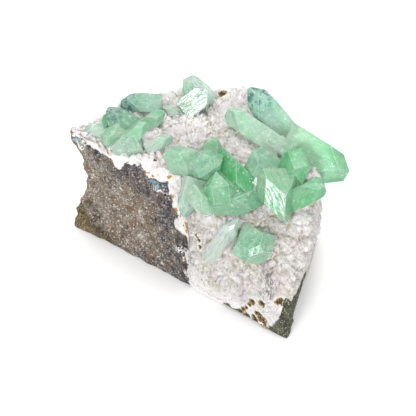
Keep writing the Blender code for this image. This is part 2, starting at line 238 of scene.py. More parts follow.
# marks on the break, each by distance along, height, half width and half height: blooms of copper
# blue, scraps of white crust, rust, black patches, pale grains and rings round filled bubbles
BREAK_MARKS = {
    "copper": ((-41.5, 41.4, 1.1, 1.5), (-40.6, 43.6, 0.9, 0.7), (-9.6, 40.2, 1.4, 1.0),
               (-7.8, 38.8, 1.6, 0.6), (-5.6, 39.6, 0.8, 0.8), (-23.6, 40.6, 1.0, 0.5)),
    "white": ((-40.9, 39.0, 1.2, 1.8), (-38.4, 42.8, 0.8, 1.6), (-42.6, 43.9, 1.2, 0.6),
              (-30.5, 41.2, 0.9, 0.6), (-25.0, 40.2, 1.2, 0.5), (-6.6, 37.6, 1.6, 0.7),
              (1.5, 15.3, 1.3, 1.2), (-2.5, 36.7, 0.8, 0.8), (4.0, 5.4, 0.9, 0.8),
              (-36.2, 28.2, 0.7, 1.0), (-23.6, 29.3, 0.5, 0.5), (-8.0, 4.9, 0.5, 0.5),
              (-5.8, 4.0, 0.5, 0.7)),
    "rust": ((-37.5, 29.8, 1.0, 1.1), (-20.7, 23.2, 0.6, 0.8), (-19.7, 21.0, 0.5, 0.9),
             (-18.9, 15.2, 0.6, 1.3), (-11.7, 3.7, 0.9, 0.8), (-33.0, 27.5, 0.7, 0.6)),
    "char": ((-34.8, 9.5, 2.4, 2.8), (-32.0, 5.2, 2.2, 2.8), (-28.5, 2.2, 2.4, 1.8)),
    "pale": ((-15.3, 22.5, 0.8, 1.8), (-14.1, 19.5, 0.8, 1.4), (-14.9, 11.6, 0.8, 1.2),
             (-21.6, 5.9, 1.0, 1.0), (-28.0, 25.2, 0.8, 1.0)),
    "ring": ((-29.2, 30.2, 1.3, 1.5), (-27.6, 26.4, 0.9, 1.1)),
}
# x, y, z and radius of the iron-stained spots where the crust meets the rock
AMBER_SPOTS = (
    (-13.1, -4.5, 44.1, 0.8), (-18.6, -3.0, 42.7, 0.6), (-12.0, -8.1, 38.5, 0.9),
    (-10.9, -9.1, 33.7, 0.9), (-9.4, -10.3, 31.5, 0.7), (-8.0, -11.5, 28.5, 0.8),
    (-7.1, -12.1, 26.3, 0.9), (-8.3, -11.3, 24.0, 0.7), (-7.5, -12.0, 13.5, 0.8),
)
# distance along the break, and how far the dark band under the crust reaches down there
BAND_REACHES = np.array([(-45.0, 2.5), (-34.0, 3.5), (-22.0, 6.0), (-12.0, 10.0), (0.0, 12.0)])
BAND_REACH_ELSEWHERE = 4.0
OLIVE_HEIGHT = 13.0  # of the olive foot, at the break's left end
OLIVE_FALL = 0.95  # how steeply the olive foot's top runs down from there
OLIVE_CORNER = (28.0, -27.0, 7.0, 17.0)  # x, y, z and reach of the olive corner at front right

UNDER_CRUST = 2.6  # the covered rock lies this far inside the block's form
BARE_STAND = 2.0  # the bare rock stands out this far from the covered rock
ROCK_TOP = 23.0  # the covered rock's middle, above CENTRE
BROAD_RELIEF = 0.7  # height of the broad waves of the break
GRAIN_RELIEF = 0.30
FINE_GRAIN_RELIEF = 0.20
GRAIN_LEVEL = 0.4  # the part of a grain's height that lies in the rock
PIT_DEPTH = 0.9
LAP_RELIEF = 0.7  # thickness of the crust that laps over the break
SCRAP_RELIEF = 0.25  # thickness of the white scraps of crust
WORN_SHARE = 0.6  # how much of the relief the worn sides keep


def over_break(points):
    """Where points lie on the fresh break: distance along it, height and nearness, 0 to 1."""
    offset = points - CENTRE
    normal = direction(BREAK_BEARING, 0.0)
    along = offset @ np.array([-normal[1], normal[0], 0.0])
    ahead = offset @ normal
    nearness = unit((ahead - BREAK_AHEAD) / 4.0)
    return along, points[..., 2], nearness * unit((BREAK_END - along) / 3.0)


def inside_outline(along, height, outline):
    """Signed distance in mm to a closed outline of straight runs, positive inside it.

    The distance is the least over the runs; a point is inside when a level ray from it crosses
    the outline an odd number of times.
    """
    least = np.full(along.shape, np.inf)
    crossings = np.zeros(along.shape)
    for start, end in zip(outline, np.roll(outline, -1, axis=0)):
        run = end - start
        aside = along - start[0]
        above = height - start[1]
        part = unit((aside * run[0] + above * run[1]) / (run @ run))
        least = np.minimum(least, np.hypot(aside - part * run[0], above - part * run[1]))
        if run[1]:
            spans = (start[1] > height) != (end[1] > height)
            crossings += spans & (aside < above * run[0] / run[1])
    return np.where(crossings % 2 == 1, least, -least)


def nearest_reach(points, places):
    """Distance to the nearest place over that place's radius: 1 on its border, 0 in its middle."""
    least = np.full(points.shape[:-1], FAR)
    for x, y, z, radius in places:
        least = np.minimum(least, np.linalg.norm(points - np.array([x, y, z]), axis=-1) / radius)
    return least


bearings = even_bearings(COLUMNS)
edge = edge_rise(bearings)

# The first rings lie under the crust; the others step down the bare wall at equal heights.
covered_rows = np.linspace(0.06, 0.97, COVERED_ROWS)[:, None]
covered_rise = 90.0 - (90.0 - edge) * covered_rows
wall_rows = np.linspace(WALL_START, 1.0, WALL_ROWS)[:, None]
edge_slope = np.tan(np.radians(edge))
foot_slope = np.tan(np.radians(floor_rise(bearings)))
wall_rise = np.degrees(np.arctan(edge_slope + (foot_slope - edge_slope) * wall_rows))
rock_rays = direction(bearings, np.concatenate((covered_rise, wall_rise)))
rock_skin = CENTRE + rock_rays * form_radius(rock_rays)[..., None]

along, height, on_break = over_break(rock_skin)
fresh = on_break > 0.0
tremble = 0.45 * waves(rock_skin, 2.2, 15) + 0.30 * waves(rock_skin, 0.9, 16)
from_edge = np.linalg.norm(rock_skin - rock_skin[COVERED_ROWS], axis=-1)
from_felt = np.where(fresh, inside_outline(along, height, BREAK_OUTLINE), from_edge)
felt_over = unit(0.5 - (from_felt + tremble) / 0.5) * fresh

marks = {}
for kind, places in BREAK_MARKS.items():
    marks[kind] = np.full(along.shape, FAR)
    for at, up, half_width, half_height in places:
        reach = np.hypot((along - at) / half_width, (height - up) / half_height)
        marks[kind] = np.minimum(marks[kind], np.where(fresh, reach, FAR))

mottle = waves(rock_skin, 5.0, 14) + 0.6 * waves(rock_skin, 2.0, 17)
band_reach = np.where(fresh, np.interp(along, *BAND_REACHES.T), BAND_REACH_ELSEWHERE)
edge_band = unit(1.3 - from_felt / band_reach + 0.35 * mottle)
olive_line = OLIVE_HEIGHT - OLIVE_FALL * np.clip(along + 40.0, 0.0, 40.0)
olive_foot = unit((olive_line - height) / 2.0 + 0.4 * mottle) * on_break
olive_corner = unit(2.0 * near(rock_skin, *OLIVE_CORNER))
olive_worn = 0.8 * ~fresh * unit(0.6 + mottle)
olive_cover = np.maximum(np.maximum(olive_foot, olive_corner), olive_worn)

broad_break = waves(rock_skin, 9.0, 11) + 0.6 * waves(rock_skin, 3.75, 12)
grain = pebbles(rock_skin, 1.7, 31) - GRAIN_LEVEL
fine_grain = pebbles(rock_skin, 0.8, 41) - GRAIN_LEVEL
pits = unit(waves(rock_skin, 3.0, 18) - 0.9)
calm = np.clip(from_edge / 3.0, 0.1, 1.0) * np.clip(rock_skin[..., 2] / 4.0, 0.2, 1.0)
relief = (calm * (BROAD_RELIEF * broad_break + GRAIN_RELIEF * grain
                  + FINE_GRAIN_RELIEF * fine_grain - PIT_DEPTH * pits)
          + LAP_RELIEF * felt_over + SCRAP_RELIEF * unit(1.5 - marks["white"]))
below_edge = np.concatenate((covered_rows * 0.0, wall_rows - WALL_START))
bare = unit(below_edge / 0.015)
stand = bare * (BARE_STAND + np.where(fresh, 1.0, WORN_SHARE) * relief)
rock_points = rock_skin + outward(rock_skin) * (stand - UNDER_CRUST)[..., None]
rock_points[-1, :, 2] = 0.0
rock_points[..., 2] = np.maximum(rock_points[..., 2], 0.0)

basalt_matrix = ring_mesh("basalt_rock", CENTRE + np.array([0.0, 0.0, ROCK_TOP]), rock_points,
                          CENTRE * np.array([1.0, 1.0, 0.0]))
for label, field in (("edge_band", edge_band), ("olive_cover", olive_cover),
                     ("from_felt", from_felt), ("pits", pits), ("worn", ~fresh),
                     ("amber", nearest_reach(rock_skin, AMBER_SPOTS)), *marks.items()):
    paint(basalt_matrix, label, 0.0, field, 0.0)


class Finish:
    """A material under construction: its nodes, its shader and the colour laid so far."""

    def __init__(self, name):
        self.material = bpy.data.materials.new(name)
        self.material.use_nodes = True
        self.tree = self.material.node_tree
        self.shader = self.tree.nodes["Principled BSDF"]
        self.place = self.node("ShaderNodeTexCoord").outputs["Object"]
        self.colour = None

    def node(self, kind, **settings):
        """A new node with the given settings."""
        made = self.tree.nodes.new(kind)
        for name, value in settings.items():
            setattr(made, name, value)
        return made

    def fill(self, socket, value):
        """A source, a number or a colour into a socket."""
        if isinstance(value, (int, float)):
            socket.default_value = value
        elif isinstance(value, tuple):
            socket.default_value = (*value, 1.0)
        else:
            self.tree.links.new(value, socket)

    def field(self, name):
        """A number that was painted on the piece."""
        return self.node("ShaderNodeAttribute", attribute_name=name).outputs["Fac"]

    def noise(self, size, detail=3.0, rough=0.55, place=None):
        """Cloudy noise whose features are size millimetres across."""
        made = self.node("ShaderNodeTexNoise")
        self.fill(made.inputs["Vector"], place or self.place)
        self.fill(made.inputs["Scale"], 1.0 / (size * MM))
        self.fill(made.inputs["Detail"], detail)
        self.fill(made.inputs["Roughness"], rough)
        return made.outputs["Fac"]

    def grains(self, size, feature="F1"):
        """Cells size millimetres across: the distance to each cell's middle, and its colour."""
        made = self.node("ShaderNodeTexVoronoi", feature=feature)
        self.fill(made.inputs["Vector"], self.place)
        self.fill(made.inputs["Scale"], 1.0 / (size * MM))
        return made.outputs["Distance"], made.outputs["Color"]

    def lots(self, colour):
        """Three numbers drawn for each cell: the red, green and blue of its colour."""
        parts = self.node("ShaderNodeSeparateColor")
        self.fill(parts.inputs["Color"], colour)
        return parts.outputs

    def ramp(self, source, low, high, bottom=0.0, top=1.0):
        """The source spread so that low becomes bottom and high becomes top."""
        made = self.node("ShaderNodeMapRange", interpolation_type="SMOOTHSTEP")
        self.fill(made.inputs["Value"], source)
        for name, value in (("From Min", low), ("From Max", high),
                            ("To Min", bottom), ("To Max", top)):
            self.fill(made.inputs[name], value)
        return made.outputs["Result"]

    def ragged(self, name, size, amount):
        """A painted distance whose even lines are frayed by noise size millimetres across."""
        fray = self.ramp(self.noise(size, 4.0, 0.65), 0.25, 0.75, -amount, amount)
        return self.math("ADD", self.field(name), fray)

    def math(self, operation, one, two=0.0):
        """One number worked out from two."""
        made = self.node("ShaderNodeMath", operation=operation)
        self.fill(made.inputs[0], one)
        self.fill(made.inputs[1], two)
        return made.outputs[0]

    def product(self, one, two):
        """One number times another."""
        return self.math("MULTIPLY", one, two)

    def blend(self, share, one, two):
        """Colour one turning into colour two as share goes from 0 to 1."""
        made = self.node("ShaderNodeMix", data_type="RGBA")
        self.fill(made.inputs["Factor"], share)
        self.fill(made.inputs[6], one)
        self.fill(made.inputs[7], two)
        return made.outputs[2]

    def coat(self, share, shade):
        """Lay one more shade over the colour, where share is 1."""
        self.colour = self.blend(share, self.colour, shade)

    def bump(self, height, depth, under=None):
        """Relief depth millimetres deep, on top of the relief under it."""
        made = self.node("ShaderNodeBump")
        self.fill(made.inputs["Strength"], 1.0)
        self.fill(made.inputs["Distance"], depth * MM)
        self.fill(made.inputs["Height"], height)
        if under:
            self.fill(made.inputs["Normal"], under)
        return made.outputs["Normal"]

    def finish(self, **values):
        """The colour, and plain values or sources, on the shader's own sockets."""
        self.fill(self.shader.inputs["Base Color"], self.colour)
        for name, value in values.items():
            self.fill(self.shader.inputs[name.replace("_", " ")], value)


BROWN_STONE = (0.27, 0.21, 0.15)
GREY_STONE = (0.36, 0.315, 0.27)
OCHRE_STONE = (0.25, 0.17, 0.085)
DARK_BLOTCH = (0.10, 0.085, 0.075)
PORE_SHADOW = (0.075, 0.055, 0.042)
LIGHT_GRAIN = (0.68, 0.65, 0.60)
DARK_GRAIN = (0.07, 0.06, 0.055)
RUSTY_GRAIN = (0.36, 0.19, 0.07)
BAND_BLACK = (0.016, 0.017, 0.024)
BAND_VIOLET = (0.12, 0.105, 0.11)
BAND_GRAIN = (0.50, 0.48, 0.48)
OLIVE_GRAIN = (0.42, 0.41, 0.33)
CHAR = (0.035, 0.030, 0.022)
MARK_SHADES = {"pale": (0.56, 0.53, 0.44), "rust": (0.22, 0.105, 0.045),
               "copper": (0.26, 0.45, 0.50), "white": (0.86, 0.83, 0.80)}
BUBBLE_RIM = (0.03, 0.03, 0.035)
BUBBLE_FILL = (0.34, 0.32, 0.29)
PIT_SHADOW = (0.05, 0.045, 0.04)
FELT_SHADOW = (0.62, 0.57, 0.53)
FELT_WHITE = (0.93, 0.905, 0.90)
AMBER = (0.50, 0.25, 0.05)

rock = Finish("basalt_fresh_break")
rock.colour = rock.blend(rock.ramp(rock.noise(7.0, 4.0), 0.36, 0.64), BROWN_STONE, GREY_STONE)
rock.coat(rock.ramp(rock.noise(4.0), 0.54, 0.68, 0.0, 0.7), OCHRE_STONE)
rock.coat(rock.ramp(rock.noise(2.6, 5.0, 0.7), 0.54, 0.62, 0.0, 0.6), DARK_BLOTCH)
rock.coat(rock.ramp(rock.noise(0.8, 6.0, 0.85), 0.38, 0.54, 1.0, 0.0), PORE_SHADOW)

# mineral grains: a scatter of pale, dark and rusty ones, each picked by one of its cell's lots
grain_reach, grain_colour = rock.grains(0.62)
grain_body = rock.ramp(grain_reach, 0.25, 0.60, 1.0, 0.0)
lots = rock.lots(grain_colour)
light_grains = rock.product(grain_body, rock.ramp(lots[0], 0.55, 0.75))
rock.coat(light_grains, LIGHT_GRAIN)
rock.coat(rock.product(grain_body, rock.ramp(lots[2], 0.70, 0.80)), DARK_GRAIN)
rock.coat(rock.product(grain_body, rock.ramp(lots[1], 0.86, 0.92, 0.0, 0.7)), RUSTY_GRAIN)

# the dark band under the crust
band = rock.blend(rock.ramp(rock.noise(0.8, 5.0, 0.75), 0.40, 0.60), BAND_BLACK, BAND_VIOLET)
band = rock.blend(rock.product(light_grains, 0.6), band, BAND_GRAIN)
band_share = rock.ramp(rock.noise(2.4, 4.0), 0.36, 0.54, 0.35, 1.0)
rock.coat(rock.product(rock.field("edge_band"), band_share), band)

# the olive foot of the break is browner than the worn sides
olive_dark = rock.blend(rock.field("worn"), (0.035, 0.024, 0.010), (0.026, 0.032, 0.018))
olive_light = rock.blend(rock.field("worn"), (0.25, 0.175, 0.080), (0.118, 0.122, 0.068))
olive_mottle = rock.product(rock.ramp(rock.noise(0.9, 5.0, 0.75), 0.36, 0.60),
                            rock.ramp(rock.noise(3.2, 4.0, 0.7), 0.42, 0.54, 0.30, 1.0))
olive = rock.blend(olive_mottle, olive_dark, olive_light)
olive = rock.blend(rock.product(light_grains, 0.8), olive, OLIVE_GRAIN)
rock.coat(rock.field("olive_cover"), olive)

rock.coat(rock.product(rock.ramp(rock.ragged("char", 1.5, 0.8), 0.5, 1.3, 1.0, 0.0),
                       rock.ramp(rock.noise(1.1, 5.0, 0.8), 0.44, 0.53, 0.95, 0.15)), CHAR)
for mark, shade in MARK_SHADES.items():
    rock.coat(rock.ramp(rock.ragged(mark, 0.7, 1.6), 0.7, 1.1, 1.0, 0.0), shade)
bubble_reach = rock.ragged("ring", 1.0, 0.25)
rock.coat(rock.ramp(bubble_reach, 1.0, 1.25, 0.85, 0.0), BUBBLE_RIM)
rock.coat(rock.ramp(bubble_reach, 0.55, 0.75, 0.9, 0.0), BUBBLE_FILL)
rock.coat(rock.field("pits"), PIT_SHADOW)

# the crust's thin skin over the top of the break, and the iron stains beside it
felt_lap = rock.ramp(rock.ragged("from_felt", 1.5, 1.0), -0.08, 0.10, 1.0, 0.0)
lap = rock.blend(rock.ramp(rock.noise(0.9, 6.0, 0.75), 0.32, 0.50), FELT_SHADOW, FELT_WHITE)
rock.coat(felt_lap, lap)
rock.coat(rock.ramp(rock.ragged("amber", 0.8, 0.6), 0.9, 1.15, 1.0, 0.0), AMBER)
rock_relief = rock.bump(felt_lap, 0.5, under=rock.bump(rock.noise(0.55, 6.0, 0.8), 0.5))
rock.finish(Roughness=0.80, Normal=rock_relief)
basalt_matrix.data.materials.append(rock.material)

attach(basalt_matrix, "root")
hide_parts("basalt_matrix")


# ---------------------------------------
# Mordenite crust.  A felted mat of hair-fine white crystals, two to four millimetres thick, that
# coated the rock before the apophyllite grew.  Its surface is lumpy and velvety, with cracks, and
# it thins out to brown-rimmed holes near its lower edge.
# ---------------------------------------

CRUST_ROWS = 158  # from the middle of the top to the crust's edge
PLATEAU_HEIGHT = 26.6  # top of the block above its centre point
SWELL_HEIGHT = 1.5
LUMP_HEIGHT = 1.3  # of the big lumps and of the small ones on them
BEAD_HEIGHT = 0.55
LUMP_LEVEL = 0.6  # the part of a lump's height that lies in the crust
CRACK_DEPTH = 0.4
HOLE_DEPTH = 0.5
LIP_ROWS = 6.0  # the crust bends down to the rock over these last rows
FADE_POWER = 7.0588  # the swells die out towards the edge by this power
BREAK_SIDE = -60.0  # bearings below this look onto the fresh break
THIN_REACH = 7.0  # how far from the break's edge the crust stays thin
EDGE_THICKNESS = 1.6
CRUST_THICKNESS = 2.4
# x, y, z and radius of each place where the thin crust has dissolved and the rock shows
CRUST_HOLES = (
    (10.3, -25.7, 1.0, 1.0), (11.3, -26.3, 3.0, 0.7), (12.2, -26.9, 4.5, 0.6),
    (13.2, -27.5, 6.5, 0.6), (14.0, -28.0, 8.5, 0.9), (17.2, -30.3, 10.4, 1.0),
    (14.8, -28.9, 2.4, 0.7), (15.5, -29.4, 4.6, 0.6), (16.5, -30.2, 4.7, 0.7),
    (16.7, -30.4, 2.9, 0.8), (15.4, -29.5, 1.3, 0.8), (12.7, -27.4, 0.4, 1.3),
    (17.9, -31.4, 3.0, 1.0), (18.9, -32.3, 2.0, 1.0), (20.8, -33.9, 1.4, 1.3),
    (23.4, -32.6, 14.0, 0.9), (22.3, -32.7, 13.6, 0.8), (-4.3, -14.1, 26.0, 0.7),
    (-3.7, -14.7, 24.2, 0.6), (-3.3, -15.0, 21.7, 0.6), (-7.6, -11.8, 27.5, 0.5),
    (-18.0, 3.3, 44.4, 0.5), (4.4, 36.0, 46.0, 1.3),
)
# x, y, z and reach of a smooth stretch, in front of the long pale crystal at back right
SMOOTH_STRETCH = (11.5, 13.0, 44.6, 5.5)


def drum_rise(bearing, part):
    """Rise of each row: equal steps out over the plateau, then down the side, as round a drum.

    Along each bearing the way runs level from the axis to the block's side and then straight
    down to the crust's edge; part is how much of that way lies behind.
    """
    reach = form_radius(direction(bearing, 0.0))
    last = np.radians(90.0 - edge_rise(bearing))
    over = np.minimum(PLATEAU_HEIGHT * np.tan(np.minimum(last, 1.45)), reach)
    down = np.where(last > np.arctan2(reach, PLATEAU_HEIGHT),
                    PLATEAU_HEIGHT - reach / np.tan(last), 0.0)
    way = part * (over + down)
    polar = np.arctan2(np.minimum(way, over), PLATEAU_HEIGHT - np.maximum(way - over, 0.0))
    return 90.0 - np.degrees(polar)


outer_part = (np.arange(1, CRUST_ROWS + 1) / CRUST_ROWS)[:, None]
crust_rise = drum_rise(bearings, outer_part)
crust_rays = direction(bearings, crust_rise)
crust_form = form_radius(crust_rays)
crust_skin = CENTRE + crust_rays * crust_form[..., None]

swell = np.abs(waves(crust_skin, 13.0, 4)) ** 0.8
big_lump = pebbles(crust_skin + 0.6 * waves(crust_skin, 5.0, 55)[..., None], 5.2, 51)
small_lump = pebbles(crust_skin + 0.3 * waves(crust_skin, 2.5, 65)[..., None], 2.5, 61)
bead = pebbles(crust_skin, 1.1, 71)
# cracks run where a wave field crosses zero, in the places that a broader one picks
crackle = unit(1.0 - np.abs(waves(crust_skin, 10.0, 81)) / 0.07)
crackle *= unit(waves(crust_skin, 15.0, 82) + 0.35) * (crust_skin[..., 0] > 8.0)

hole_reach = nearest_reach(crust_skin, CRUST_HOLES)
hole = unit((1.3 - hole_reach) / 0.6)
# the crust thins to a smooth skin beside the fresh break and round its holes
edge_gap = np.linalg.norm(crust_skin - crust_skin[-1], axis=-1)
beside_break = unit((BREAK_SIDE - bearings) / 10.0)
thick = np.clip(1.0 - beside_break * (1.0 - edge_gap / THIN_REACH), 0.1, 1.0)
thick = thick * np.clip((hole_reach - 0.8) / 2.0, 0.2, 1.0)

station = unit((90.0 - crust_rise) / (90.0 - edge))
fade = (1.0 - station ** FADE_POWER) * thick
lip = unit((1.0 - outer_part) * CRUST_ROWS / LIP_ROWS) ** 0.7
crust_relief = (0.1 + lip * (SWELL_HEIGHT * fade * swell - 0.3)
                + lip * thick * (LUMP_HEIGHT * (big_lump - LUMP_LEVEL + small_lump - LUMP_LEVEL)
                                 + BEAD_HEIGHT * (bead - LUMP_LEVEL))
                - CRACK_DEPTH * crackle - HOLE_DEPTH * hole)
crust_relief += 0.75 * near(crust_skin, *SMOOTH_STRETCH) * (1.0 - crust_relief)
outer_points = crust_skin + outward(crust_skin) * crust_relief[..., None]

# The inner skin runs back up over the rock, well under the outer one.
inner_rows = np.arange(CRUST_ROWS - 1, 8, -14)
inner_form = crust_form[inner_rows]
inner_drop = np.full((len(inner_rows), 1), CRUST_THICKNESS)
inner_drop[0] = EDGE_THICKNESS
inner_points = CENTRE + crust_rays[inner_rows] * (inner_form - inner_drop)[..., None]
middle_under = CENTRE + np.array([0.0, 0.0, inner_form[-1].mean() - CRUST_THICKNESS])
mordenite_crust = ring_mesh("mordenite_mat", outer_points[0].mean(0),
                            np.concatenate((outer_points, inner_points)), middle_under)


def paint_crust(name, values, under):
    """Store values on the crust's outer skin, and one plain number on its ends and inner skin."""
    inner = np.full(inner_form.shape, under)
    paint(mordenite_crust, name, under, np.concatenate((values, inner)), under)


# painted shade: a mask that is high in the creases between lumps and in the cracks
crease = thick * unit(1.0 - 0.9 * swell - 0.5 * big_lump) ** 1.2 + 0.7 * crackle
paint_crust("crease", unit(crease), 0.0)
paint_crust("hole", hole_reach, FAR)
paint_crust("thick", thick, 1.0)
paint_crust("edge_gap", edge_gap, FAR)
paint_crust("amber", nearest_reach(crust_skin, AMBER_SPOTS), FAR)
paint_crust("bead", bead, 0.5)
paint_crust("small_lump", 1.0 - thick * (1.0 - small_lump), 0.5)
paint_crust("big_lump", 1.0 - thick * (1.0 - big_lump), 0.5)
paint_crust("tallness", crust_skin[..., 2] / 45.0, 0.5)

FELT_CREAM = (0.95, 0.94, 0.92)
FELT_PINK = (0.86, 0.76, 0.78)
FELT_MOSS = (0.68, 0.68, 0.50)
# painted shade for the creases and cracks
CREASE_SHADE = (0.56, 0.50, 0.43)
# painted shade for the valleys between lumps
VALLEY_SHADE = (0.58, 0.53, 0.48)
TUFT_SHADOW = (0.60, 0.55, 0.50)
HAIR_SHADOW = (0.56, 0.51, 0.46)
# painted light for the top of the crust
TOP_PAINTED_LIGHT = (0.97, 0.92, 0.94)
# ochre stain and painted shade round the crystals' feet
FOOT_OCHRE_AND_SHADE = (0.56, 0.46, 0.25)
EDGE_RUST = (0.40, 0.20, 0.045)
HOLE_RIM = (0.36, 0.21, 0.05)
HOLE_BLACK = (0.045, 0.035, 0.02)
# the painted heights: the range of each that counts as a valley, and how much painted shade that
# valley gets
VALLEYS = (("big_lump", 0.02, 0.30, 0.45), ("small_lump", 0.03, 0.42, 0.65),
           ("bead", 0.05, 0.45, 0.30))

felt = Finish("mordenite_felt")
tuft_reach, _ = felt.grains(0.85, "SMOOTH_F1")
hairs = felt.noise(0.5, 6.0, 0.8)
tallness = felt.field("tallness")
felt.colour = felt.blend(felt.ramp(felt.noise(9.0, 4.0), 0.38, 0.62), FELT_WHITE, FELT_CREAM)
felt.coat(felt.ramp(felt.noise(8.0, 2.0), 0.50, 0.64, 0.0, 0.8), FELT_PINK)
felt.coat(felt.product(felt.ramp(felt.noise(7.0), 0.50, 0.64, 0.0, 0.6),
                       felt.ramp(tallness, 0.2, 0.9, 1.0, 0.25)), FELT_MOSS)
# painted shade in the creases and cracks
crease_share = felt.ramp(felt.noise(2.2, 4.0), 0.30, 0.60, 0.1, 0.6)
felt.coat(felt.product(felt.field("crease"), crease_share), CREASE_SHADE)
# painted shade in the valleys between the lumps, a little less on the top
for level, low, high, share in VALLEYS:
    felt.coat(felt.product(felt.ramp(felt.field(level), low, high, share, 0.0),
                           felt.ramp(tallness, 0.6, 0.95, 1.0, 0.65)), VALLEY_SHADE)
felt.coat(felt.ramp(tuft_reach, 0.40, 0.70, 0.0, 0.30), TUFT_SHADOW)
felt.coat(felt.ramp(hairs, 0.36, 0.46, 0.35, 0.0), HAIR_SHADOW)
# painted light: the crust lighter towards its top
felt.coat(felt.ramp(tallness, 0.60, 0.95, 0.0, 0.38), TOP_PAINTED_LIGHT)
# ochre stain and painted shade in the valleys round the crystals' feet
foot_stain_and_shade = felt.product(felt.field("stain_and_shade"),
                          felt.ramp(felt.noise(1.7, 5.0, 0.7), 0.50, 0.57, 0.0, 0.85))
felt.coat(felt.product(foot_stain_and_shade, felt.ramp(felt.field("big_lump"), 0.10, 0.42, 1.0, 0.06)),
          FOOT_OCHRE_AND_SHADE)
felt.coat(felt.ramp(felt.field("thick"), 0.15, 0.95, 0.85, 0.0), FELT_WHITE)
felt.coat(felt.product(felt.ramp(felt.ragged("edge_gap", 1.2, 0.9), 0.35, 0.75, 1.0, 0.0),
                       felt.ramp(felt.noise(2.6), 0.55, 0.60)), EDGE_RUST)
hole_line = felt.ragged("hole", 0.7, 0.45)
felt.coat(felt.ramp(hole_line, 1.25, 1.55, 1.0, 0.0), HOLE_RIM)
felt.coat(felt.ramp(hole_line, 0.65, 1.15, 1.0, 0.0), HOLE_BLACK)
felt.coat(felt.ramp(felt.ragged("amber", 0.8, 0.6), 0.9, 1.15, 1.0, 0.0), AMBER)
tuft_relief = felt.bump(felt.ramp(tuft_reach, 0.0, 0.8, 1.0, 0.0), 0.55)
felt.finish(Roughness=0.92, Normal=felt.bump(hairs, 0.45, under=tuft_relief), Sheen_Weight=0.15,
            Sheen_Roughness=0.6, Specular_IOR_Level=0.25)
mordenite_crust.data.materials.append(felt.material)

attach(mordenite_crust, "root")
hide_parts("mordenite_crust")


# ---------------------------------------
# Apophyllite crystals.  Square prisms closed by steep four-sided pyramids turned 45 degrees to
# them, clear to milky green, that grew on the crust singly and into one another.  Crystals that
# grew together are one solid.
# ---------------------------------------

PYRAMID_ANGLE = 60.4  # pyramid faces, measured from the basal plane
BELOW_FOOT = 3.0  # the prism runs on this far into the crust
HABIT_SPREAD = 0.08  # how far each face strays from the perfect habit
ARRIS_WIDTH = 0.14  # chamfer along the crystals' edges
FACE_SPACING = 40.0  # shift between the crystals' patterns on the growth map
STAIN_AND_SHADE_REACH = 5.0  # the crust's ochre stain and painted shade reach this far out from a crystal
